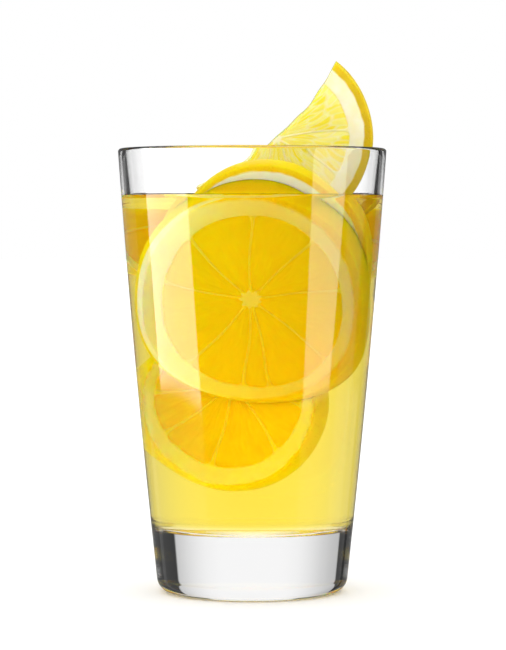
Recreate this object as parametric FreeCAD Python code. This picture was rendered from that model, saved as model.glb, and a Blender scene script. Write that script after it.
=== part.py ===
"""Glass of lemonade: a tapered tumbler, its drink and the lemon slices that stand out of it.

Millimetres, +Z up.  The origin is the centre of the glass's foot, on the surface it stands on.
-Y is the front of the drink, the side that the faces of the slices look towards.
"""
import FreeCAD, Part
import math
import os
from FreeCAD import Vector

# Driving dimensions of the glass.
RIM_RADIUS = 40.0
HEIGHT = 132.0
TAPER_AT_RIM = 0.0707          # how much the radius falls for each mm below the rim
TAPER_GROWTH = 0.00015         # and how much the square of that depth adds to it
RIM_WALL = 2.0
LOWER_WALL = 2.9
WALL_BLEND = 12.0              # depth below the rim over which the wall thickens
FOOT_ROUND = 4.6
BASE_THICKNESS = 19.0
FLOOR_ROUND = 4.5
LIP_ROUND = 0.9

# Driving dimensions of the drink.
LIQUID_LEVEL = 117.4

# Lemon slices: all lean their tops forward and turn their right side forward.  Angles in degrees.
FRONT_TURN = 7.0
FRONT_LEAN = 17.0
FRONT_CENTRE = Vector(1.1, -10.0, 88.1)
FRONT_THICKNESS = 6.3
FRONT_FACE = (29.2, 31.2)      # half width and half height of the face
FRONT_BACK = (30.6, 33.9)      # and of its larger back

BACK_OFFSET = (2.9, 11.2)      # right of and above the front slice, in its plane
BACK_THICKNESS = 5.4
BACK_FACE = (26.8, 26.6)
BACK_BACK = (27.0, 26.8)

GARNISH_CENTRE = Vector(7.1, -1.0, 135.1)
GARNISH_RADIUS = 28.3
GARNISH_THICKNESS = 6.0
GARNISH_TURN = 2.0
GARNISH_LEAN = 8.0
GARNISH_UPPER_CUT = 51.5       # direction of the cut side's upper half, counted up from the right
GARNISH_LOWER_CUT = 213.0      # and of its lower half, which bends back a little

SKIN_BULGE = 0.7               # how far a slice's skin swells between its two faces
WALL_STATIONS = 12             # heights at which the inside wall's curve is worked out


def outside_radius(z):
    """Radius of the outside wall at height z."""
    depth = HEIGHT - z
    return RIM_RADIUS - TAPER_AT_RIM * depth - TAPER_GROWTH * depth * depth


def wall_thickness(z):
    """Thickness of the wall at height z: thin at the rim, soon at its full thickness."""
    return LOWER_WALL + (RIM_WALL - LOWER_WALL) * math.exp((z - HEIGHT) / WALL_BLEND)


def revolve_about_z(edges):
    """Solid of a closed outline of edges in the XZ plane, turned about the Z axis."""
    face = Part.Face(Part.Wire(edges))
    return face.revolve(Vector(0, 0, 0), Vector(0, 0, 1), 360)


def line(start, end):
    """Straight edge between two (radius, height) pairs."""
    return Part.LineSegment(Vector(start[0], 0, start[1]), Vector(end[0], 0, end[1])).toShape()


def vessel(radius_at, bottom):
    """Solid of revolution under the rim whose side is the curve radius_at, from bottom to rim."""
    heights = [bottom + (HEIGHT - bottom) * i / (WALL_STATIONS - 1) for i in range(WALL_STATIONS)]
    side = Part.BSplineCurve()
    side.interpolate([Vector(radius_at(z), 0, z) for z in heights])
    low, high = (radius_at(bottom), bottom), (radius_at(HEIGHT), HEIGHT)
    return revolve_about_z([line((0, bottom), low), side.toShape(),
                            line(high, (0, HEIGHT)), line((0, HEIGHT), (0, bottom))])


def round_edges(solid, height, radius):
    """Round the circular edges of a solid that lie at the given height."""
    ring = [e for e in solid.Edges
            if abs(e.BoundBox.ZMin - height) < 1e-6 and abs(e.BoundBox.ZMax - height) < 1e-6]
    return solid.makeFillet(radius, ring)


def cavity():
    """The space inside the tumbler, up to the rim, with a rounded floor edge."""
    inside = vessel(lambda z: outside_radius(z) - wall_thickness(z), BASE_THICKNESS)
    return round_edges(inside, BASE_THICKNESS, FLOOR_ROUND)


def glass():
    """The tumbler: thick base, rounded foot, bowed tapering wall and a rounded lip."""
    outside = round_edges(vessel(outside_radius, 0.0), 0.0, FOOT_ROUND)
    return round_edges(outside.cut(cavity()), HEIGHT, LIP_ROUND)


def slice_disc(face, back, thickness):
    """Round of lemon with its face in the XZ plane, looking along -Y, and its back at +Y.

    face and back are (half width, half height); the skin swells a little between them.
    """
    middle = [(f + b) / 2 + SKIN_BULGE for f, b in zip(face, back)]
    rings = []
    for depth, (half_width, half_height) in ((0, face), (thickness / 2, middle), (thickness, back)):
        circle = Part.Circle(Vector(0, 0, 0), Vector(0, 1, 0), 1.0).toShape()
        stretch = FreeCAD.Matrix()
        stretch.scale(half_width, 1.0, half_height)
        stretch.move(Vector(0, depth, 0))
        rings.append(Part.Wire(circle.transformGeometry(stretch)))
    return Part.makeLoft(rings, True)


def slice_placement(centre, turn, lean):
    """Place for a slice whose face centre is at centre, turned about Z and leaning forward."""
    about_z = FreeCAD.Rotation(Vector(0, 0, 1), -turn)
    about_x = FreeCAD.Rotation(Vector(1, 0, 0), lean)
    return FreeCAD.Placement(centre, about_z.multiply(about_x))


def front_slice():
    """The large slice in front, which stands a little out of the drink."""
    disc = slice_disc(FRONT_FACE, FRONT_BACK, FRONT_THICKNESS)
    disc.Placement = slice_placement(FRONT_CENTRE, FRONT_TURN, FRONT_LEAN)
    return disc


def back_slice():
    """The slice that leans on the front one's back, parallel to it and higher."""
    right, above = BACK_OFFSET
    front_place = slice_placement(FRONT_CENTRE, FRONT_TURN, FRONT_LEAN)
    disc = slice_disc(BACK_FACE, BACK_BACK, BACK_THICKNESS)
    centre = front_place.multVec(Vector(right, FRONT_THICKNESS, above))
    disc.Placement = slice_placement(centre, FRONT_TURN, FRONT_LEAN)
    return disc


def garnish():
    """The halved slice that stands up out of the rim, with its straight side up and left."""
    round_size = (GARNISH_RADIUS, GARNISH_RADIUS)
    disc = slice_disc(round_size, round_size, GARNISH_THICKNESS)
    reach = 3 * GARNISH_RADIUS
    bisector = (GARNISH_UPPER_CUT + GARNISH_LOWER_CUT) / 2
    corners = [Vector(0, 0, 0)]
    for angle in (GARNISH_UPPER_CUT, bisector, GARNISH_LOWER_CUT):
        corners.append(Vector(math.cos(math.radians(angle)), 0, math.sin(math.radians(angle))) * reach)
    missing = Part.Face(Part.makePolygon(corners + corners[:1])).extrude(Vector(0, reach, 0))
    missing.translate(Vector(0, -reach / 2, 0))
    half = disc.cut(missing)
    half.Placement = slice_placement(GARNISH_CENTRE, GARNISH_TURN, GARNISH_LEAN)
    return half


def lemonade(slices):
    """The drink: fills the tumbler up to its level, cut round the slices that stand in it."""
    above_level = Part.makeBox(4 * RIM_RADIUS, 4 * RIM_RADIUS, HEIGHT,
                               Vector(-2 * RIM_RADIUS, -2 * RIM_RADIUS, LIQUID_LEVEL))
    drink = cavity().cut(above_level)
    for piece in slices:
        drink = drink.cut(piece)
    return drink


def main():
    """Build every piece and write it to parts/."""
    os.makedirs("parts", exist_ok=True)
    slices = {"lemon_slice_front": front_slice(), "lemon_slice_back": back_slice(),
              "lemon_garnish": garnish()}
    pieces = {"glass": glass(), "lemonade": lemonade(slices.values())}
    pieces.update(slices)
    for name, shape in pieces.items():
        solid = shape.Solids[0]
        print(name, "solids", len(shape.Solids), "valid", shape.isValid(),
              "volume cm3 %.1f" % (shape.Volume / 1000))
        solid.exportStep("parts/%s.step" % name)


if __name__ == "__main__":
    main()
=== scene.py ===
"""Glass of lemonade: a tapered tumbler, its yellow drink and the lemon slices in and above it.

Every length is in metres, in the same frame as the construction: +Z up, the origin at the centre of
the glass's foot, -Y to the front.
"""
import logging
import math
from dataclasses import dataclass, replace
from enum import Enum

import bpy
import numpy as np
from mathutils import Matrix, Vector

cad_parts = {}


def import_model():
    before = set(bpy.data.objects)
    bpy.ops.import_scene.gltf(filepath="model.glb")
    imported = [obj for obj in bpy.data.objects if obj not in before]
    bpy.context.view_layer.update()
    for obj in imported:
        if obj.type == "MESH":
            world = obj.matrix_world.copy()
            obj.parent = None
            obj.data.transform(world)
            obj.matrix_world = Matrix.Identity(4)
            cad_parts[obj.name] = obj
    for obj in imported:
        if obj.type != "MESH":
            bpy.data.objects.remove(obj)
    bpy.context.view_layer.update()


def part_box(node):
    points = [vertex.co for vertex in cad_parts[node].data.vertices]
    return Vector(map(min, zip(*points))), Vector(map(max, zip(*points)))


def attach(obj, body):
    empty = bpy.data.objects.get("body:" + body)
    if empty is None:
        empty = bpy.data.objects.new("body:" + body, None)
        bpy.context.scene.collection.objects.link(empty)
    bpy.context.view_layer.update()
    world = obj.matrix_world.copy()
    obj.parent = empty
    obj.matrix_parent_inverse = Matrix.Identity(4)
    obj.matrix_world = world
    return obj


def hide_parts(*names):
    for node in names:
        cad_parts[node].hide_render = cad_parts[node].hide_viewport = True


MM = 0.001
SEGMENTS = 360  # columns round a turned surface
LEVEL = 117.4 * MM  # of the drink, above the foot
LOG = logging.getLogger("lemonade")


# ---------------------------------------------------------------- meshes and small formulas

def smoothstep(low: float, high: float, value: np.ndarray) -> np.ndarray:
    """Soft step from 0 at low to 1 at high: t squared times (3 - 2t), with t clipped to 0..1.

    Args:
        low: value where the step starts.
        high: value where it ends.
        value: the numbers to step.

    Returns:
        The stepped numbers.
    """
    t = np.clip((value - low) / (high - low), 0.0, 1.0)
    return t * t * (3.0 - 2.0 * t)


def smooth_minimum(first: np.ndarray, second: np.ndarray, blend: float) -> np.ndarray:
    """Lesser of two distances, with the corner between them rounded over the length blend.

    Args:
        first: one distance.
        second: the other distance.
        blend: length over which the two melt into each other.

    Returns:
        The rounded minimum: the mix of both less blend times h times (1 - h).
    """
    h = np.clip(0.5 + 0.5 * (second - first) / blend, 0.0, 1.0)
    return second + (first - second) * h - blend * h * (1.0 - h)


def waves(angle: np.ndarray, seed: int, count: int = 9, start: int = 2) -> np.ndarray:
    """Uneven closed curve round a circle: a sum of cosines with random phases, about -1 to 1.

    Args:
        angle: angles in radians.
        seed: seed of the random phases.
        count: how many cosines.
        start: waves round the circle of the first cosine.

    Returns:
        The sum, each cosine weaker as its number of waves grows.
    """
    random = np.random.default_rng(seed)
    orders = np.arange(start, start + count)
    phases = random.uniform(0.0, 2.0 * math.pi, count)
    strengths = random.uniform(0.5, 1.0, count) / np.sqrt(orders / start)
    total = np.cos(np.multiply.outer(angle, orders) + phases) @ strengths
    usual_peak = strengths.sum() / 1.8
    return total / usual_peak


def cells(u: np.ndarray, v: np.ndarray, seed: int) -> tuple[np.ndarray, np.ndarray, np.ndarray]:
    """Cell pattern of points scattered one to each unit square of the (u, v) plane.

    Args:
        u: first coordinate.
        v: second coordinate.
        seed: seed of the scattered points.

    Returns:
        Distance to the nearest point, distance to the second nearest, and the nearest's own number.
    """
    size = 97  # unit squares before the pattern repeats
    margin = 0.15  # least distance of a point from the side of its square
    table = np.random.default_rng(seed).random((size, size, 3))
    column, row = np.floor(u).astype(int), np.floor(v).astype(int)
    nearest = np.full(u.shape, 9.0)
    second = np.full(u.shape, 9.0)
    own = np.zeros(u.shape)
    for step_u in (-1, 0, 1):
        for step_v in (-1, 0, 1):
            spot = table[(column + step_u) % size, (row + step_v) % size]
            distance = np.hypot(column + step_u + margin + (1.0 - 2.0 * margin) * spot[..., 0] - u,
                                row + step_v + margin + (1.0 - 2.0 * margin) * spot[..., 1] - v)
            closer = distance < nearest
            second = np.where(closer, nearest, np.minimum(second, distance))
            own = np.where(closer, spot[..., 2], own)
            nearest = np.where(closer, distance, nearest)
    return nearest, second, own


def grid_quads(rows: int, columns: int) -> np.ndarray:
    """Quads of a grid whose last column joins its first.

    Args:
        rows: rows of points.
        columns: points in each row.

    Returns:
        An array of four corner indices for each quad.
    """
    row, column = np.meshgrid(np.arange(rows - 1), np.arange(columns), indexing="ij")
    following = (column + 1) % columns
    corners = (row * columns + column, row * columns + following,
               (row + 1) * columns + following, (row + 1) * columns + column)
    return np.stack([c.ravel() for c in corners], axis=1)


def closed_shell(name: str, rings: np.ndarray, start: np.ndarray, end: np.ndarray,
                 values: dict[str, np.ndarray] | None = None) -> bpy.types.Object:
    """Mesh object of rings of points, closed by a fan of triangles at each end.

    Args:
        name: name of the new object.
        rings: points as (rows, columns, 3), the columns running round.
        start: the single point that closes the first ring.
        end: the single point that closes the last ring.
        values: numbers for each ring point as (rows, columns), kept as attributes of the mesh.

    Returns:
        The new object, smooth shaded, linked to the scene.  Its faces look outwards on a turned
        surface and inwards on a slice.
    """
    rows, columns = rings.shape[:2]
    points = np.concatenate([rings.reshape(-1, 3), [start], [end]])
    start_index, end_index = rows * columns, rows * columns + 1
    column = np.arange(columns)
    following = (column + 1) % columns
    last = (rows - 1) * columns
    fans = np.concatenate([np.stack([following, column, np.full(columns, start_index)], axis=1),
                           np.stack([last + column, last + following, np.full(columns, end_index)], axis=1)])
    quads = grid_quads(rows, columns)
    mesh = bpy.data.meshes.new(name)
    mesh.vertices.add(len(points))
    mesh.vertices.foreach_set("co", points.ravel())
    corners = np.concatenate([fans.ravel(), quads.ravel()])
    starts = np.concatenate([np.arange(len(fans)) * 3, fans.size + np.arange(len(quads)) * 4])
    mesh.loops.add(len(corners))
    mesh.loops.foreach_set("vertex_index", corners.astype(np.int32))
    mesh.polygons.add(len(starts))
    mesh.polygons.foreach_set("loop_start", starts.astype(np.int32))
    mesh.polygons.foreach_set("use_smooth", np.ones(len(starts), dtype=bool))
    mesh.update(calc_edges=True)
    mesh.validate()
    for key, grid in (values or {}).items():
        numbers = np.concatenate([grid.ravel(), [grid[0].mean()], [grid[-1].mean()]])
        mesh.attributes.new(key, "FLOAT", "POINT").data.foreach_set("value", numbers)
    thing = bpy.data.objects.new(name, mesh)
    bpy.context.collection.objects.link(thing)
    return thing


def turned(name: str, radius: np.ndarray, height: np.ndarray) -> bpy.types.Object:
    """Surface of revolution about Z: each profile point goes round as radius times (cos a, sin a).

    Args:
        name: name of the new object.
        radius: radii of the profile, from the axis underneath, round the outside, to the axis.
        height: heights of the profile.

    Returns:
        The closed object.
    """
    angle = np.linspace(0.0, 2.0 * math.pi, SEGMENTS, endpoint=False)
    inner = slice(1, -1)
    rings = np.stack([np.multiply.outer(radius[inner], np.cos(angle)),
                      np.multiply.outer(radius[inner], np.sin(angle)),
                      np.repeat(height[inner, None], SEGMENTS, axis=1)], axis=-1)
    return closed_shell(name, rings, np.array([0.0, 0.0, height[0]]), np.array([0.0, 0.0, height[-1]]))


def arc(centre: tuple[float, float], radius: float, start: float, end: float,
        count: int) -> tuple[np.ndarray, np.ndarray]:
    """Points of a circle's arc in the profile plane: centre plus radius times (cos, sin).

    Args:
        centre: (radius, height) of the arc's centre.
        radius: radius of the arc.
        start: first angle in radians.
        end: last angle in radians.
        count: how many points.

    Returns:
        Radii and heights of the points.
    """
    angle = np.linspace(start, end, count)
    return centre[0] + radius * np.cos(angle), centre[1] + radius * np.sin(angle)


# ---------------------------------------------------------------- finishes

class Nodes:
    """Small helper that adds nodes to one material or world and joins them."""

    def __init__(self, owner: bpy.types.ID) -> None:
        """Empty the owner's node tree and keep it.

        Args:
            owner: the material or world.
        """
        owner.use_nodes = True
        self.tree = owner.node_tree
        self.tree.nodes.clear()

    def add(self, kind: str, inputs: dict | None = None, **settings: object) -> bpy.types.Node:
        """Add a node.

        Args:
            kind: the node's type, such as ShaderNodeMath.
            inputs: socket name or index to a number, colour or the output socket that feeds it.
            settings: properties of the node itself.

        Returns:
            The new node.
        """
        node = self.tree.nodes.new(kind)
        for key, value in settings.items():
            setattr(node, key, value)
        for key, value in (inputs or {}).items():
            if isinstance(value, bpy.types.NodeSocket):
                self.tree.links.new(value, node.inputs[key])
            else:
                node.inputs[key].default_value = value
        return node

    def math(self, operation: str, first: object, second: object = 0.0) -> bpy.types.NodeSocket:
        """Output of a Math node of two numbers or sockets."""
        return self.add("ShaderNodeMath", {0: first, 1: second}, operation=operation).outputs[0]

    def step(self, value: object, low: float, high: float) -> bpy.types.NodeSocket:
        """Soft step of a socket from 0 at low to 1 at high."""
        return self.add("ShaderNodeMapRange", {"Value": value, "From Min": low, "From Max": high},
                        interpolation_type="SMOOTHSTEP").outputs["Result"]

    def mix(self, amount: object, first: object, second: object) -> bpy.types.NodeSocket:
        """Colour mixed from first to second by amount."""
        ends = {index: (*value, 1.0) if isinstance(value, tuple) else value
                for index, value in ((6, first), (7, second))}
        return self.add("ShaderNodeMix", {"Factor": amount, **ends}, data_type="RGBA").outputs[2]

    def blend(self, amount: object, first: object, second: object) -> bpy.types.NodeSocket:
        """Number mixed from first to second by amount."""
        return self.add("ShaderNodeMix", {0: amount, 2: first, 3: second}, data_type="FLOAT").outputs[0]

    def attribute(self, name: str) -> bpy.types.NodeSocket:
        """Number of a mesh attribute."""
        return self.add("ShaderNodeAttribute", attribute_name=name).outputs["Fac"]


@dataclass(frozen=True)
class ClearGlass:
    """Clear pressed and polished glass, with the faintest waviness of a pressed tumbler."""

    ior: float = 1.5
    wave_scale: float = 45.0
    wave_height: float = 0.012

    def material(self) -> bpy.types.Material:
        """Build the material.

        Returns:
            The new material.
        """
        made = bpy.data.materials.new("clear_glass")
        nodes = Nodes(made)
        coordinates = nodes.add("ShaderNodeTexCoord")
        wave = nodes.add("ShaderNodeTexNoise", {"Vector": coordinates.outputs["Object"],
                                                "Scale": self.wave_scale, "Detail": 1.0})
        bump = nodes.add("ShaderNodeBump", {"Height": wave.outputs["Fac"], "Strength": self.wave_height,
                                            "Distance": MM})
        shader = nodes.add("ShaderNodeBsdfPrincipled", {
            "Base Color": (1.0, 1.0, 1.0, 1.0), "Roughness": 0.0, "IOR": self.ior,
            "Transmission Weight": 1.0, "Normal": bump.outputs["Normal"]})
        nodes.add("ShaderNodeOutputMaterial", {"Surface": shader.outputs[0]})
        return made


@dataclass(frozen=True)
class Drink:
    """Clear yellow lemonade: it takes blue out of the light first, then a little green."""

    ior: float = 1.335
    density: float = 50.0
    keeps: tuple[float, float, float] = (0.996, 0.913, 0.09)

    def material(self) -> bpy.types.Material:
        """Build the material.

        Returns:
            The new material.
        """
        made = bpy.data.materials.new("lemonade")
        nodes = Nodes(made)
        shader = nodes.add("ShaderNodeBsdfPrincipled", {
            "Base Color": (1.0, 1.0, 1.0, 1.0), "Roughness": 0.0, "IOR": self.ior,
            "Transmission Weight": 1.0})
        depth = nodes.add("ShaderNodeVolumeAbsorption", {"Color": (*self.keeps, 1.0),
                                                         "Density": self.density})
        nodes.add("ShaderNodeOutputMaterial", {"Surface": shader.outputs[0], "Volume": depth.outputs[0]})
        return made


@dataclass(frozen=True)
class Lemon:
    """Cut lemon: juicy flesh in cells, pale membranes and pith, and a pored yellow skin.

    Where the slice stands above the drink its skin turns darker and more orange: painted shade.
    Towards its right side, which lies deeper in the drink and gets less light, every colour turns
    darker and more orange by a set share: painted shade as well.
    """

    name: str
    flesh: tuple[float, float, float]
    flesh_pale: tuple[float, float, float]
    cell_wall: tuple[float, float, float]
    membrane: tuple[float, float, float]
    pith: tuple[float, float, float]
    pith_pale: tuple[float, float, float]
    skin: tuple[float, float, float]
    skin_pale: tuple[float, float, float]
    skin_pore: tuple[float, float, float]
    cell_contrast: float
    gloss: float
    flesh_roughness: float = 0.18
    skin_roughness: float = 0.42
    translucence: float = 0.65
    reach: float = 5.0 * MM
    # painted shade: darker, more orange skin where the slice stands out of the drink
    painted_shade_skin_aloft: tuple[float, float, float] = (0.72, 0.36, 0.0)
    # painted shade: the colour the right side turns to, the share, and the span of x over which it grows
    painted_right_shade: tuple[float, float, float] = (0.80, 0.56, 0.0)
    painted_right_shade_share: float = 0.0
    painted_right_shade_from: float = -24.0 * MM
    painted_right_shade_to: float = 6.0 * MM
    mottle_scale: float = 260.0
    blotch_scale: float = 90.0
    pore_scale: float = 850.0
    pore_strength: float = 0.35
    relief: float = 0.25 * MM

    def material(self) -> bpy.types.Material:
        """Build the material: attributes of the slice say which part is flesh, membrane or skin.

        Returns:
            The new material.
        """
        made = bpy.data.materials.new(self.name)
        nodes = Nodes(made)
        place = nodes.add("ShaderNodeTexCoord").outputs["Object"]
        mottle = nodes.add("ShaderNodeTexNoise", {"Vector": place, "Scale": self.mottle_scale,
                                                  "Detail": 4.0}).outputs["Fac"]
        blotch = nodes.add("ShaderNodeTexNoise", {"Vector": place, "Scale": self.blotch_scale,
                                                  "Detail": 2.0}).outputs["Fac"]
        pores = nodes.add("ShaderNodeTexVoronoi", {"Vector": place,
                                                   "Scale": self.pore_scale}).outputs["Distance"]

        flesh = nodes.mix(nodes.attribute("cell_tone"), self.flesh, self.flesh_pale)
        walls = nodes.math("MULTIPLY", nodes.attribute("cell_wall"), self.cell_contrast)
        flesh = nodes.mix(walls, flesh, self.cell_wall)
        skin = nodes.mix(nodes.step(blotch, 0.3, 0.7), self.skin, self.skin_pale)
        in_pore = nodes.math("MULTIPLY", nodes.step(pores, 0.35, 0.05), self.pore_strength)
        skin = nodes.mix(in_pore, skin, self.skin_pore)
        # painted shade on the skin above the drink
        skin = nodes.mix(nodes.attribute("painted_shade_aloft"), skin, self.painted_shade_skin_aloft)
        pith = nodes.mix(nodes.step(mottle, 0.35, 0.75), self.pith, self.pith_pale)
        colour = nodes.mix(nodes.attribute("membrane"), pith, self.membrane)
        colour = nodes.mix(nodes.attribute("flesh"), colour, flesh)
        colour = nodes.mix(nodes.attribute("skin"), colour, skin)
        # painted shade: darker and more orange towards the slice's right side
        across = nodes.add("ShaderNodeSeparateXYZ", {0: place}).outputs[0]
        painted_right_shade = nodes.math("MULTIPLY", nodes.step(across, self.painted_right_shade_from, self.painted_right_shade_to), self.painted_right_shade_share)
        colour = nodes.mix(painted_right_shade, colour, self.painted_right_shade)

        pore_height = nodes.math("MULTIPLY", nodes.step(pores, 0.0, 0.45), nodes.attribute("skin"))
        grain = nodes.math("MULTIPLY", mottle, 0.25)
        bump = nodes.add("ShaderNodeBump", {"Height": nodes.math("ADD", pore_height, grain),
                                            "Strength": 0.5, "Distance": self.relief})
        drop = self.skin_roughness - self.flesh_roughness
        roughness = nodes.math("SUBTRACT", self.skin_roughness,
                               nodes.math("MULTIPLY", nodes.attribute("flesh"), drop))
        shader = nodes.add("ShaderNodeBsdfPrincipled", {
            "Base Color": colour, "Roughness": roughness, "IOR": 1.4, "Specular IOR Level": self.gloss,
            "Normal": bump.outputs["Normal"], "Subsurface Weight": self.translucence,
            "Subsurface Scale": self.reach})
        shader.inputs["Subsurface Radius"].default_value = (1.0, 0.62, 0.12)
        nodes.add("ShaderNodeOutputMaterial", {"Surface": shader.outputs[0]})
        return made


DRY_LEMON = Lemon(
    name="lemon_dry", flesh=(0.98, 0.83, 0.04), flesh_pale=(0.99, 0.91, 0.28), cell_wall=(0.99, 0.93, 0.60),
    membrane=(0.98, 0.91, 0.50), pith=(0.98, 0.92, 0.58), pith_pale=(1.0, 0.96, 0.72), skin=(0.66, 0.47, 0.0),
    skin_pale=(0.80, 0.62, 0.004), skin_pore=(0.60, 0.42, 0.0), cell_contrast=0.55, gloss=0.5)
WET_LEMON = Lemon(
    name="lemon_wet", flesh=(0.98, 0.76, 0.0), flesh_pale=(0.99, 0.79, 0.001), cell_wall=(1.0, 0.84, 0.02),
    membrane=(1.0, 0.86, 0.10), pith=(1.0, 0.95, 0.82), pith_pale=(1.0, 0.98, 0.95), skin=(0.92, 0.66, 0.0),
    skin_pale=(0.97, 0.75, 0.003), skin_pore=(0.74, 0.50, 0.0), cell_contrast=0.15, gloss=0.05,
    translucence=0.9, reach=8.0 * MM, painted_right_shade_share=0.5)
LAPPED_LEMON = replace(
    WET_LEMON, name="lemon_lapped", skin=(0.93, 0.61, 0.0), skin_pale=(0.97, 0.69, 0.003),
    skin_pore=(0.78, 0.48, 0.0), pith=(1.0, 0.96, 0.72), pith_pale=(1.0, 0.98, 0.84), gloss=0.3, painted_right_shade_share=0.0)
SUNKEN_LEMON = replace(
    WET_LEMON, name="lemon_sunken", flesh=(0.90, 0.73, 0.0), flesh_pale=(0.93, 0.77, 0.001),
    skin=(0.90, 0.71, 0.0), skin_pale=(0.95, 0.78, 0.003), painted_right_shade_share=0.0)


# ---------------------------------------------------------------- the glass and the drink

@dataclass
class Tumbler:
    """Tapered tumbler: thick base, rounded foot, bowed wall that thickens below its rounded lip."""

    rim_radius: float
    height: float
    taper_at_rim: float = 0.0707
    taper_growth: float = 0.15  # per metre
    rim_wall: float = 2.0 * MM
    lower_wall: float = 2.9 * MM
    wall_blend: float = 12.0 * MM
    foot_round: float = 4.6 * MM
    base_thickness: float = 19.0 * MM
    floor_round: float = 4.5 * MM
    corner_points: int = 18
    wall_points: int = 70

    def outside(self, height: np.ndarray) -> np.ndarray:
        """Outside radius: the rim's less taper times depth, less the taper's growth times depth squared."""
        depth = self.height - height
        return self.rim_radius - self.taper_at_rim * depth - self.taper_growth * depth * depth

    def inside(self, height: np.ndarray) -> np.ndarray:
        """Inside radius: the outside radius less a wall that grows exponentially below the rim."""
        blend = np.exp((height - self.height) / self.wall_blend)
        return self.outside(height) - self.lower_wall - (self.rim_wall - self.lower_wall) * blend

    def round_corner(self, wall: object, level: float, radius: float,
                     count: int) -> tuple[np.ndarray, np.ndarray]:
        """Arc that joins a flat floor to a leaning wall.

        Args:
            wall: radius of the wall as a function of height.
            level: height of the floor.
            radius: radius of the arc.
            count: how many points.

        Returns:
            Radii and heights, from the floor up to the wall.
        """
        near = level + radius
        lean = math.atan(float((wall(near) - wall(near - MM)) / MM))
        touch = near - radius * math.sin(lean)
        centre = (float(wall(touch)) - radius * math.cos(lean), near)
        return arc(centre, radius, -math.pi / 2, -lean, count)

    def profile(self) -> tuple[np.ndarray, np.ndarray]:
        """Closed profile of the glass, from the axis underneath to the axis of the inside floor.

        Returns:
            Radii and heights.
        """
        lip = 0.49 * self.rim_wall
        foot = self.round_corner(self.outside, 0.0, self.foot_round, self.corner_points)
        floor = self.round_corner(self.inside, self.base_thickness, self.floor_round, self.corner_points)
        lip_height = self.height - lip
        wall = np.linspace(foot[1][-1], lip_height, self.wall_points)[1:-1]
        inner = np.linspace(lip_height, floor[1][-1], self.wall_points)[1:-1]
        middle = (self.outside(lip_height) + self.inside(lip_height)) / 2
        rim = arc((middle, lip_height), lip, 0.0, math.pi, 22)
        rim = (middle + (rim[0] - middle) * (self.outside(lip_height) - middle) / lip, rim[1])
        under = np.linspace(0.0, foot[0][0], 12)[:-1]
        above = np.linspace(floor[0][0], 0.0, 14)[1:]
        radius = np.concatenate([under, foot[0], self.outside(wall), rim[0], self.inside(inner),
                                 floor[0][::-1], above])
        height = np.concatenate([np.zeros(len(under)), foot[1], wall, rim[1], inner, floor[1][::-1],
                                 np.full(len(above), self.base_thickness)])
        return radius, height

    def build(self, finish: ClearGlass) -> bpy.types.Object:
        """Turn the profile into the glass and dress it.

        Args:
            finish: the glass's finish.

        Returns:
            The glass.
        """
        thing = turned("tumbler", *self.profile())
        thing.data.materials.append(finish.material())
        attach(thing, "root")
        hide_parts("glass")
        return thing


@dataclass
class Lemonade:
    """The drink: it fills the tumbler just into its wall, so no gap shows, and climbs it a little."""

    tumbler: Tumbler
    level: float
    into_wall: float = 0.12 * MM
    climb: float = 0.9 * MM
    climb_reach: float = 1.1 * MM
    edge_width: float = 9.0 * MM  # of the ring with closer points at the wall

    def profile(self) -> tuple[np.ndarray, np.ndarray]:
        """Closed profile of the drink; its edge rises by climb times exp(-distance / reach).

        Returns:
            Radii and heights.
        """
        cup = self.tumbler
        corner = cup.round_corner(cup.inside, cup.base_thickness, cup.floor_round, cup.corner_points)
        corner = (corner[0] + self.into_wall, corner[1] - self.into_wall)
        top = self.level + self.climb
        wall = np.linspace(corner[1][-1], top, cup.wall_points)[1:]
        edge = float(cup.inside(top)) + self.into_wall
        away = np.concatenate([np.geomspace(0.02 * MM, self.edge_width, 26), [edge * 0.5, edge]])
        rise = self.climb * np.exp(-away / self.climb_reach)
        under = np.linspace(0.0, corner[0][0], 12)[:-1]
        radius = np.concatenate([under, corner[0], cup.inside(wall) + self.into_wall, edge - away])
        height = np.concatenate([np.full(len(under), corner[1][0]), corner[1], wall, self.level + rise])
        return radius, height

    def build(self, finish: Drink) -> bpy.types.Object:
        """Turn the profile into the drink and dress it.

        Args:
            finish: the drink's finish.

        Returns:
            The drink.
        """
        thing = turned("lemonade_fill", *self.profile())
        thing.data.materials.append(finish.material())
        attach(thing, "root")
        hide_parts("lemonade")
        return thing


# ---------------------------------------------------------------- the lemon slices

class Cut(Enum):
    """How a slice is cut: a whole round, or a half with a straight side."""

    ROUND = "round"
    HALF = "half"


@dataclass(frozen=True)
class Pulp:
    """Sizes of what is inside a lemon, the same for every slice."""

    membrane: float = 0.16 * MM  # half width of a membrane
    flare: float = 0.42 * MM  # and how much it widens at the pith,
    flare_reach: float = 1.6 * MM  # over this distance
    core_flare: float = 0.25 * MM  # the same at the core
    core_flare_reach: float = 1.2 * MM
    segment_corner: float = 1.1 * MM  # rounding of a segment's corners
    core_corner: float = 0.8 * MM
    wiggle: float = 0.03  # sway of the membranes, in radians
    wiggle_length: float = 5.0 * MM
    cells_round: float = 12.0  # juice cells in each radian
    cell_length: float = 6.5 * MM
    cell_bend: float = 0.35
    cell_bend_length: float = 2.3 * MM
    sink: float = 0.30 * MM  # of the flesh below the pith at its edge
    crown: float = 0.32 * MM  # and its rise away from the edge
    crown_reach: float = 1.2 * MM
    pillow: float = 0.22 * MM  # height of a single cell
    pillow_reach: float = 1.5 * MM


PULP = Pulp()


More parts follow.
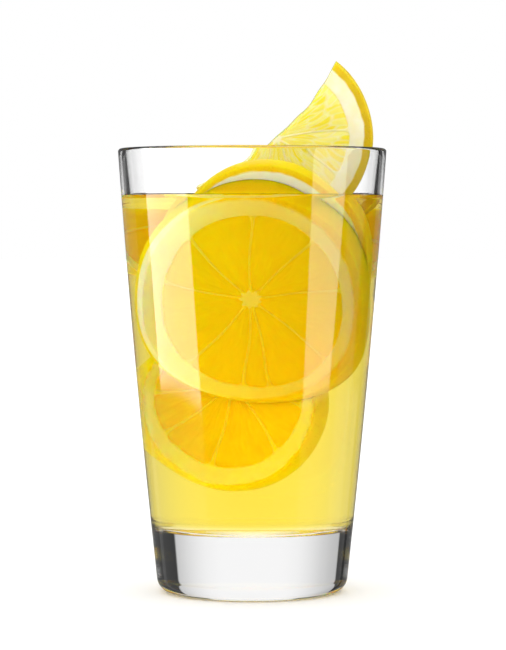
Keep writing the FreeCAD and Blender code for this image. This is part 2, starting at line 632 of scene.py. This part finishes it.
@dataclass
class LemonSlice:
    """A slice of lemon with skin, pith, membranes and flesh in segments.

    In the slice's own plane x runs right and z up from the middle of its face, and depth runs from
    the face to the back.  The place leans the top of that plane forward and turns it about Z.
    """

    name: str
    centre: tuple[float, float, float]
    turn: float  # degrees
    lean: float  # degrees
    thickness: float
    face: tuple[float, float]  # half width and half height, as for the next ones
    back: tuple[float, float]
    flesh: tuple[float, float]
    rind: tuple[float, float]  # of the line between pith and skin
    membranes: tuple[float, ...]  # directions in degrees, counted up from the right
    seed: int
    node: str | None = None
    flesh_centre: tuple[float, float] = (0.0, 0.0)
    rind_centre: tuple[float, float] = (0.0, 0.0)
    core: tuple[float, float] = (0.0, 0.0)
    core_radius: float = 2.2 * MM
    cut: Cut = Cut.ROUND
    cut_from: float = 0.0  # directions in degrees of a half's two cut sides
    cut_to: float = 0.0
    bulge: float = 0.5 * MM  # swell of the skin between the two faces
    painted_left_highlight: float = 0.0  # share of the left edge's thickness given pith colour: a painted highlight
    # the skin above this height takes the painted shade
    dry_above: float = 1.0  # height above which the skin is out of the drink
    rind_waver: float = 0.35 * MM
    rind_blur: float = 0.3 * MM
    columns: int = 420
    rows: tuple[int, int, int] = (74, 16, 24)  # over the face, the edge and the back

    def outline(self, size: tuple[float, float]) -> tuple[np.ndarray, np.ndarray, np.ndarray]:
        """Closed outline of the slice for a half width and half height.

        A round is an ellipse with an uneven radius.  A half keeps its arc from one end of the cut
        to the other, and comes back along two sides that meet at the core and hollow a little.

        Args:
            size: half width and half height.

        Returns:
            x, z and how much of each point is on the skin.
        """
        if self.cut is Cut.ROUND:
            angle = np.linspace(0.0, 2.0 * math.pi, self.columns, endpoint=False)
            uneven = 1.0 + 0.006 * waves(angle, self.seed)
            return size[0] * np.cos(angle) * uneven, size[1] * np.sin(angle) * uneven, np.ones(self.columns)
        start, end = math.radians(self.cut_to - 360.0), math.radians(self.cut_from)
        arc_length = size[0] * (end - start)
        side_length = size[0]
        total = arc_length + 2.0 * side_length
        along = np.linspace(0.0, total, self.columns, endpoint=False)
        on_arc = along < arc_length
        angle = np.where(on_arc, start + along / size[0], 0.0)
        inwards = np.clip((along - arc_length) / side_length, 0.0, 1.0)
        outwards = np.clip((along - arc_length - side_length) / side_length, 0.0, 1.0)
        reach = np.where(outwards > 0.0, outwards, 1.0 - inwards)
        side = np.where(outwards > 0.0, start, end)
        deepest = 1.7 * MM
        hollow = deepest * np.sin(math.pi * reach) * (1.0 + 0.12 * np.sin(reach * 17.0))
        turned_in = np.where(outwards > 0.0, 1.0, -1.0)
        uneven = 1.0 + 0.004 * waves(angle, self.seed)
        x = np.where(on_arc, size[0] * np.cos(angle) * uneven,
                     size[0] * reach * np.cos(side) - turned_in * hollow * np.sin(side))
        z = np.where(on_arc, size[1] * np.sin(angle) * uneven,
                     size[1] * reach * np.sin(side) + turned_in * hollow * np.cos(side))
        return x, z, on_arc.astype(float)

    def heart(self) -> tuple[float, float]:
        """Point of the face that the rings of the mesh close in on.

        Returns:
            Its x and z in the slice's plane.
        """
        if self.cut is Cut.ROUND:
            return self.core
        middle = math.radians((self.cut_from + self.cut_to - 360.0) / 2.0)
        return 0.42 * self.face[0] * math.cos(middle), 0.42 * self.face[1] * math.sin(middle)

    def zones(self, x: np.ndarray, z: np.ndarray) -> dict[str, np.ndarray]:
        """What each point of the face is: signed distances to the membranes, the pith and the core.

        The flesh is where the rounded minimum of those distances is above zero.  Its cells are a
        scattered-point pattern stretched along the line from the core.

        Args:
            x: distance right of the face's middle.
            z: distance above it.

        Returns:
            flesh, membrane, skin, cell_wall, cell_tone and rise, each from 0 to 1 but the last,
            which is a height in metres.
        """
        right, above = x - self.core[0], z - self.core[1]
        angle = np.arctan2(above, right)
        away = np.hypot(right, above)
        uneven = 1.0 + 0.012 * waves(angle, self.seed + 1, 14, 3)
        within = 1.0 - np.hypot((x - self.flesh_centre[0]) / self.flesh[0],
                                (z - self.flesh_centre[1]) / self.flesh[1]) / uneven
        to_pith = within * min(self.flesh)
        wiggle = PULP.wiggle * np.sin(away / PULP.wiggle_length)
        offsets = angle[..., None] - np.radians(self.membranes) - wiggle[..., None]
        across = np.where(np.cos(offsets) > 0.0, np.abs(np.sin(offsets)), 1.0) * away[..., None]
        width = PULP.membrane + PULP.flare * np.exp(-np.abs(to_pith) / PULP.flare_reach)
        width = width + PULP.core_flare * np.exp(-(away - self.core_radius) / PULP.core_flare_reach)
        to_membrane = across.min(axis=-1) - width
        nearest_one = across.argmin(axis=-1)
        side = np.take_along_axis(np.sin(offsets), nearest_one[..., None], axis=-1)[..., 0] > 0.0
        segment = nearest_one * 2 + side
        star = 1.0 + 0.16 * np.cos(angle * len(self.membranes) + self.seed)
        to_core = away - self.core_radius * star
        depth = smooth_minimum(to_pith, to_membrane, PULP.segment_corner)
        depth = smooth_minimum(depth, to_core, PULP.core_corner)
        flesh = smoothstep(-0.10 * MM, 0.16 * MM, depth)
        inside = smoothstep(-0.3 * MM, 0.6 * MM, to_pith) * smoothstep(0.0, 0.6 * MM, to_core)
        membrane = (1.0 - flesh) * inside
        edge = (1.0 - np.hypot((x - self.rind_centre[0]) / self.rind[0],
                               (z - self.rind_centre[1]) / self.rind[1])) * min(self.rind)
        edge = edge + self.rind_waver * waves(angle, self.seed + 2, 40, 9)
        skin = 1.0 - smoothstep(-0.2 * MM, self.rind_blur, edge)

        bend = PULP.cell_bend * np.sin(away / PULP.cell_bend_length + segment)
        nearest, second, tone = cells(angle * PULP.cells_round + bend + segment * 7.3,
                                      away / PULP.cell_length + segment * 3.1, self.seed)
        wall = 1.0 - smoothstep(0.02, 0.30, second - nearest)
        bump = PULP.pillow * (np.clip(1.0 - nearest, 0.0, 1.0) - 0.5)
        crown = PULP.crown * (1.0 - np.exp(-np.maximum(depth, 0.0) / PULP.crown_reach))
        rise = flesh * (crown - PULP.sink + bump * smoothstep(0.0, PULP.pillow_reach, depth))
        return {"flesh": flesh, "membrane": membrane, "skin": skin, "cell_wall": wall * flesh,
                "cell_tone": tone * flesh, "rise": rise}

    def to_row(self, x: np.ndarray, depth: np.ndarray, z: np.ndarray) -> np.ndarray:
        """Carry the slice's own coordinates to the object's: lean about X, turn about Z, then move.

        Args:
            x: distance right.
            depth: distance from the face towards the back.
            z: distance up in the slice's plane.

        Returns:
            The points, with the coordinates last.
        """
        lean, turn = math.radians(self.lean), math.radians(self.turn)
        forward = depth * math.cos(lean) - z * math.sin(lean)
        upward = depth * math.sin(lean) + z * math.cos(lean)
        sideways = x * math.cos(turn) + forward * math.sin(turn)
        backward = -x * math.sin(turn) + forward * math.cos(turn)
        return np.stack([sideways, backward, upward], axis=-1) + np.array(self.centre)

    def build(self, material: bpy.types.Material) -> bpy.types.Object:
        """Build the slice: rings out over the face, across the skin and in over the back.

        Args:
            material: the lemon's material.

        Returns:
            The slice.
        """
        front_rows, side_rows, back_rows = self.rows
        face_x, face_z, on_skin = self.outline(self.face)
        back_x, back_z, _ = self.outline(self.back)
        heart_x, heart_z = self.heart()
        rim = 0.04  # share of the way in over which the relief fades

        out = np.linspace(0.0, 1.0, front_rows + 1)[1:, None]
        x_front = heart_x + out * (face_x - heart_x)
        z_front = heart_z + out * (face_z - heart_z)
        front = self.zones(x_front, z_front)
        depth_front = -front.pop("rise") * smoothstep(0.0, rim, 1.0 - out)

        across = np.linspace(0.0, 1.0, side_rows + 2)[1:-1, None]
        swell = self.bulge * np.sin(math.pi * across) ** 0.6 * on_skin
        length = np.hypot(face_x, face_z) + 1e-9
        x_side = face_x + across * (back_x - face_x) + swell * face_x / length
        z_side = face_z + across * (back_z - face_z) + swell * face_z / length
        depth_side = np.broadcast_to(across * self.thickness, x_side.shape)
        # painted highlight: the front of the edge shows pith colour on the left, fading to none at the middle
        painted_left_highlight = self.painted_left_highlight * np.clip(-face_x / self.face[0], 0.0, 1.0)
        none = np.zeros(x_side.shape)
        side = {"flesh": 1.0 - on_skin + none, "membrane": none,
                "skin": on_skin * smoothstep(painted_left_highlight - 0.12, painted_left_highlight, across),
                "cell_wall": none, "cell_tone": none + 0.4}

        inwards = np.linspace(1.0, 0.0, back_rows + 1)[:-1, None]
        x_back = heart_x + inwards * (back_x - heart_x)
        z_back = heart_z + inwards * (back_z - heart_z)
        shrink = self.face[0] / self.back[0], self.face[1] / self.back[1]
        behind = self.zones(x_back * shrink[0], z_back * shrink[1])
        depth_back = self.thickness + behind.pop("rise") * smoothstep(0.0, rim, 1.0 - inwards)

        x = np.concatenate([x_front, x_side, x_back])
        z = np.concatenate([z_front, z_side, z_back])
        depth = np.concatenate([depth_front, depth_side, depth_back])
        values = {key: np.concatenate([front[key], side[key], behind[key]]) for key in front}
        places = self.to_row(x, depth, z)
        # share of painted shade on the skin above the drink
        values["painted_shade_aloft"] = smoothstep(self.dry_above + 0.3 * MM, self.dry_above + 2.2 * MM, places[..., 2])
        start = self.to_row(np.float64(heart_x), np.float64(0.0), np.float64(heart_z))
        end = self.to_row(np.float64(heart_x), np.float64(self.thickness), np.float64(heart_z))
        thing = closed_shell(self.name, places, start, end, values)
        thing.data.materials.append(material)
        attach(thing, "root")
        if self.node:
            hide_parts(self.node)
        return thing


# ---------------------------------------------------------------- the studio

@dataclass(frozen=True)
class Band:
    """Stretch of the horizon, in degrees from +Y towards +X, with soft ends."""

    start: float
    end: float
    soft: float = 1.0


@dataclass(frozen=True)
class Panel:
    """Tall bright panel beside the glass; each upright side slants by its slope, in radians."""

    start: float
    start_slope: float
    end: float
    end_slope: float
    strength: float


@dataclass
class Studio:
    """White floor and backdrop and soft light, with a bright panel at each side for the glass.

    The light differs by what it has met on its way: what the glass mirrors, what is seen through
    bare glass, what is seen through the drink, and what falls on the slices.
    """

    camera_place: tuple[float, float, float] = (0.24 * MM, -0.855, 0.1095)
    camera_aim: tuple[float, float, float] = (0.24 * MM, 0.0, 0.0795)
    lens: float = 159.0
    left_panel: Panel = Panel(-115.0, -0.93, -72.3, -0.32, 5.3)
    right_panel: Panel = Panel(85.9, 0.98, 125.2, 0.18, 3.2)
    panel_soft: float = 0.6
    panel_foot: float = 0.0725  # the panels end lower as they are farther round:
    panel_foot_slope: float = 0.07  # at minus the foot less this times the direction
    back: Band = Band(-53.5, 37.7)
    back_mirrored: float = 0.18
    side_light: Band = Band(62.0, 86.0, 3.0)
    side_strength: float = 0.3
    sill: Band = Band(45.0, 128.0, 2.0)  # dim stretch under the panels, at both sides
    sill_strength: float = 0.3
    ceiling: float = 0.9
    right_card: Band = Band(37.7, 80.0)
    left_card: Band = Band(-80.0, -48.5)
    inner_back: Band = Band(-20.0, 20.0, 2.0)
    through_walls: float = 1.3
    open_light: float = 1.2
    drink_light: float = 2.5

    def camera(self) -> None:
        """Place the camera in front of the glass, a little below the top of the drink."""
        data = bpy.data.cameras.new("camera")
        data.lens = self.lens
        data.sensor_width = 36.0
        data.clip_start = 0.05
        data.clip_end = 50.0
        thing = bpy.data.objects.new("camera", data)
        bpy.context.collection.objects.link(thing)
        place, aim = Vector(self.camera_place), Vector(self.camera_aim)
        thing.location = place
        thing.rotation_euler = (aim - place).to_track_quat("-Z", "Y").to_euler()
        bpy.context.scene.camera = thing

    def floor(self) -> None:
        """Large pale floor, left out of mirror reflections so that the panels show in the glass."""
        mesh = bpy.data.meshes.new("floor")
        mesh.from_pydata([(-8, -8, 0), (8, -8, 0), (8, 8, 0), (-8, 8, 0)], [], [(0, 1, 2, 3)])
        thing = bpy.data.objects.new("floor", mesh)
        bpy.context.collection.objects.link(thing)
        material = bpy.data.materials.new("floor_white")
        nodes = Nodes(material)
        shader = nodes.add("ShaderNodeBsdfPrincipled", {"Base Color": (0.98, 0.98, 0.98, 1.0),
                                                        "Roughness": 0.8, "Specular IOR Level": 0.0})
        nodes.add("ShaderNodeOutputMaterial", {"Surface": shader.outputs[0]})
        mesh.materials.append(material)
        thing.visible_glossy = False
        thing.visible_transmission = False

    def step_at(self, nodes: Nodes, azimuth: object, at: float, soft: float) -> bpy.types.NodeSocket:
        """Step from 0 to 1 across a direction in degrees, softened that much to both sides."""
        return nodes.step(azimuth, math.radians(at - soft), math.radians(at + soft))

    def band(self, nodes: Nodes, azimuth: object, band: Band) -> bpy.types.NodeSocket:
        """1 inside a stretch of the horizon and 0 outside it."""
        return nodes.math("SUBTRACT", self.step_at(nodes, azimuth, band.start, band.soft),
                          self.step_at(nodes, azimuth, band.end, band.soft))

    def panel(self, nodes: Nodes, azimuth: object, height: object, panel: Panel) -> bpy.types.NodeSocket:
        """Light of a tall panel: each side is a step in the azimuth plus its slope times the height.

        Args:
            nodes: the world's nodes.
            azimuth: direction round the glass in radians, from +Y towards +X.
            height: upward part of the unit vector of that direction.
            panel: place and strength of the panel.

        Returns:
            Its strength inside and 0 outside.
        """
        start = nodes.math("ADD", azimuth, nodes.math("MULTIPLY", height, panel.start_slope))
        end = nodes.math("ADD", azimuth, nodes.math("MULTIPLY", height, panel.end_slope))
        inside = nodes.math("SUBTRACT", self.step_at(nodes, start, panel.start, self.panel_soft),
                            self.step_at(nodes, end, panel.end, self.panel_soft))
        return nodes.math("MULTIPLY", inside, panel.strength)

    def mirrored(self, nodes: Nodes, azimuth: object, height: object) -> bpy.types.NodeSocket:
        """Light that the outside of the glass mirrors: dim back, dark front, a tall panel each side.

        Args:
            nodes, azimuth, height: as for a panel.

        Returns:
            The light's strength.
        """
        back = nodes.math("MULTIPLY", self.band(nodes, azimuth, self.back), self.back_mirrored)
        level = nodes.math("ADD", back, 0.01)
        side = nodes.math("MULTIPLY", self.band(nodes, azimuth, self.side_light), self.side_strength)
        level = nodes.math("ADD", level, side)
        aside = nodes.math("ABSOLUTE", azimuth)
        foot = nodes.math("ADD", height, nodes.math("MULTIPLY", aside, self.panel_foot_slope))
        above_foot = nodes.step(foot, -self.panel_foot - 0.0065, -self.panel_foot + 0.0065)
        below_foot = nodes.math("SUBTRACT", 1.0, above_foot)
        sill = nodes.math("MULTIPLY", below_foot, self.band(nodes, aside, self.sill))
        panels = nodes.math("ADD", self.panel(nodes, azimuth, height, self.left_panel),
                            self.panel(nodes, azimuth, height, self.right_panel))
        level = nodes.math("ADD", level, nodes.math("MULTIPLY", panels, above_foot))
        level = nodes.math("ADD", level, nodes.math("MULTIPLY", sill, self.sill_strength))
        return nodes.blend(nodes.step(height, 0.5, 0.75), level, self.ceiling)

    def refracted(self, nodes: Nodes, azimuth: object, height: object) -> bpy.types.NodeSocket:
        """Light bent through bare glass: white that dims sideways, with a dark card low at each side.

        Args:
            nodes, azimuth, height: as for a panel.

        Returns:
            The light's strength.
        """
        cards = nodes.math("ADD", self.band(nodes, azimuth, self.right_card),
                           self.band(nodes, azimuth, self.left_card))
        aside = nodes.math("ABSOLUTE", azimuth)
        white = nodes.blend(nodes.step(aside, math.radians(10.0), math.radians(46.0)), 1.0, 0.55)
        white = nodes.blend(nodes.step(aside, math.radians(80.0), math.radians(90.0)), white, 1.0)
        low = nodes.math("SUBTRACT", 1.0, nodes.step(nodes.math("ABSOLUTE", height), 0.5, 0.6))
        return nodes.blend(nodes.math("MULTIPLY", cards, low), white, 0.03)

    def inner(self, nodes: Nodes, azimuth: object) -> bpy.types.NodeSocket:
        """Light that comes back off the inside of bare glass: white from the back, dark from the front."""
        return nodes.math("ADD", self.band(nodes, azimuth, self.inner_back), 0.03)

    def drunk(self, nodes: Nodes, azimuth: object) -> bpy.types.NodeSocket:
        """Light bent through the drink: brightest straight behind, falling off towards both sides.

        Args:
            nodes, azimuth: as for a panel.

        Returns:
            The light's strength.
        """
        aside = nodes.math("ABSOLUTE", azimuth)
        near = nodes.blend(nodes.step(aside, math.radians(8.0), math.radians(42.0)), 1.15, 0.95)
        side = nodes.blend(nodes.step(aside, math.radians(42.0), math.radians(68.0)), near, 0.85)
        return nodes.blend(nodes.step(aside, math.radians(85.0), math.radians(105.0)), side, 1.0)

    def light(self) -> None:
        """Light by direction and by how it reached the glass, the drink and the slices."""
        world = bpy.data.worlds.new("studio")
        bpy.context.scene.world = world
        world.cycles.sampling_method = "NONE"
        nodes = Nodes(world)
        direction = nodes.add("ShaderNodeTexCoord").outputs["Generated"]
        parts = nodes.add("ShaderNodeSeparateXYZ", {0: direction})
        across, height = parts.outputs[0], parts.outputs[2]
        azimuth = nodes.math("ARCTAN2", across, parts.outputs[1])
        path = nodes.add("ShaderNodeLightPath")
        crossed = path.outputs["Transmission Depth"]
        in_glass = nodes.math("GREATER_THAN", crossed, 0.5)
        in_walls = nodes.math("GREATER_THAN", crossed, 3.5)
        in_drink = nodes.math("GREATER_THAN", crossed, 4.5)
        mirrored_once = nodes.math("GREATER_THAN", path.outputs["Glossy Depth"], 0.5)
        scattered = nodes.math("GREATER_THAN", path.outputs["Diffuse Depth"], 0.5)

        bare = nodes.blend(in_walls, self.refracted(nodes, azimuth, height), self.through_walls)
        bare = nodes.blend(mirrored_once, bare, self.inner(nodes, azimuth))
        clear = nodes.blend(in_glass, self.mirrored(nodes, azimuth, height), bare)
        clear = nodes.blend(in_drink, clear, self.drunk(nodes, azimuth))
        lean = nodes.math("ADD", nodes.math("MULTIPLY", across, nodes.blend(in_drink, -0.1, -0.4)),
                          nodes.math("MULTIPLY", height, nodes.blend(in_drink, 0.15, -0.05)))
        soft = nodes.math("MULTIPLY", nodes.math("ADD", lean, 1.0),
                          nodes.blend(in_drink, self.open_light, self.drink_light))
        level = nodes.blend(scattered, clear, soft)
        strength = nodes.math("MAXIMUM", level, path.outputs["Is Camera Ray"])
        background = nodes.add("ShaderNodeBackground", {"Color": (1.0, 1.0, 1.0, 1.0), "Strength": strength})
        nodes.add("ShaderNodeOutputWorld", {"Surface": background.outputs[0]})

    def settings(self) -> None:
        """Plain display of light, and enough bounces for glass inside drink inside glass."""
        scene = bpy.context.scene
        scene.view_settings.view_transform = "Standard"
        scene.cycles.max_bounces = 24
        scene.cycles.transmission_bounces = 24
        scene.cycles.glossy_bounces = 8

    def build(self) -> None:
        """Set up the whole studio."""
        self.camera()
        self.floor()
        self.light()
        self.settings()


# ---------------------------------------------------------------- the whole drink

def mm(*sizes: float) -> tuple[float, ...]:
    """Sizes given in millimetres, in metres."""
    return tuple(size * MM for size in sizes)


def slices() -> list[LemonSlice]:
    """The slices in and above the drink.

    Returns:
        Front and back slice and garnish, then the two that are looks only: the sunken slice, and
        a half slice behind the others, put there as painted shade to darken the top of the drink.
    """
    turn, lean, thickness = 7.0, 17.0, 6.3 * MM
    front = LemonSlice(
        name="slice_front", node="lemon_slice_front", centre=mm(1.1, -10.0, 88.1),
        turn=turn, lean=lean, thickness=thickness, face=mm(29.2, 31.2), back=mm(30.6, 33.9),
        flesh=mm(22.7, 26.4), flesh_centre=mm(-0.7, -0.8), rind=mm(28.6, 30.8),
        rind_centre=mm(-2.4, -0.2), rind_blur=1.0 * MM,
        # this slice carries a painted highlight on its left edge and painted shade above the drink
        core=(-1.5 * MM, 0.0), seed=3, columns=560, rows=(100, 20, 24), dry_above=LEVEL, painted_left_highlight=0.55,
        membranes=(130.0, 88.5, 48.5, 8.0, -45.0, -81.0, -94.0, -125.0, 168.0))
    back_centre = front.to_row(np.float64(2.9 * MM), np.float64(thickness), np.float64(11.2 * MM))
    back = LemonSlice(
        name="slice_back", node="lemon_slice_back", centre=tuple(back_centre), turn=turn, lean=lean,
        thickness=5.4 * MM, face=mm(26.8, 26.6), back=mm(27.0, 26.8),
        flesh=mm(20.2, 20.0), rind=mm(25.2, 25.3), rind_centre=mm(-0.8, -0.3),
        core=mm(0.3, -0.4), seed=8,
        membranes=(15.0, 58.0, 95.0, 140.0, 178.0, -142.0, -101.0, -62.0, -25.0))
    garnish = LemonSlice(
        name="slice_garnish", node="lemon_garnish", centre=mm(7.1, -1.0, 135.1), turn=2.0,
        lean=8.0, thickness=6.0 * MM, face=mm(28.3, 28.3), back=mm(28.3, 28.3),
        flesh=mm(21.6, 21.6), rind=mm(26.2, 26.2), core_radius=1.2 * MM, seed=12,
        columns=560, rows=(100, 20, 24), cut=Cut.HALF, cut_from=51.5, cut_to=213.0,
        membranes=(53.5, 8.0, -31.0, -70.0, -108.0, -146.0))
    sunk = LemonSlice(
        name="slice_sunk", centre=mm(-4.2, 6.8, 57.0), turn=12.0, lean=-4.0,
        thickness=5.5 * MM, face=mm(18.4, 24.6), back=mm(19.4, 25.6),
        flesh=mm(15.6, 20.4), flesh_centre=mm(-0.4, 1.4), rind=mm(18.0, 24.3),
        rind_centre=mm(-0.2, 0.2), core=(0.0, 6.0 * MM), seed=21,
        membranes=(20.0, 62.0, 104.0, 148.0, -170.0, -132.0, -98.0, -62.0, -22.0))
    # painted shade: a half slice that is not seen, put behind the others only to darken the top of the drink
    behind = LemonSlice(
        name="slice_behind", centre=mm(0.5, 13.2, 116.7), turn=0.0, lean=0.0,
        thickness=4.6 * MM, face=mm(30.4, 30.4), back=mm(30.2, 30.2),
        flesh=mm(29.0, 29.0), rind=mm(31.4, 31.4), seed=31,
        cut=Cut.HALF, cut_from=-1.0, cut_to=181.0, membranes=(-24.0, -62.0, -99.0, -137.0, -160.0))
    return [front, back, garnish, sunk, behind]


def main() -> None:
    """Load the frame, build each piece in order and report it."""
    logging.basicConfig(level=logging.INFO, format="%(name)s: %(message)s")
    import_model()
    low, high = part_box("glass")
    cup = Tumbler(rim_radius=(high[0] - low[0]) / 2.0, height=high[2] - low[2])
    pieces = [cup.build(ClearGlass()), Lemonade(cup, LEVEL).build(Drink())]
    sunken = SUNKEN_LEMON.material()
    finishes = {"slice_garnish": DRY_LEMON.material(), "slice_back": LAPPED_LEMON.material(),
                "slice_front": WET_LEMON.material(), "slice_sunk": sunken, "slice_behind": sunken}
    pieces += [one.build(finishes[one.name]) for one in slices()]
    Studio().build()
    for piece in pieces:
        LOG.info("%s: %d points, %d faces", piece.name, len(piece.data.vertices), len(piece.data.polygons))


if __name__ == "__main__":
    main()
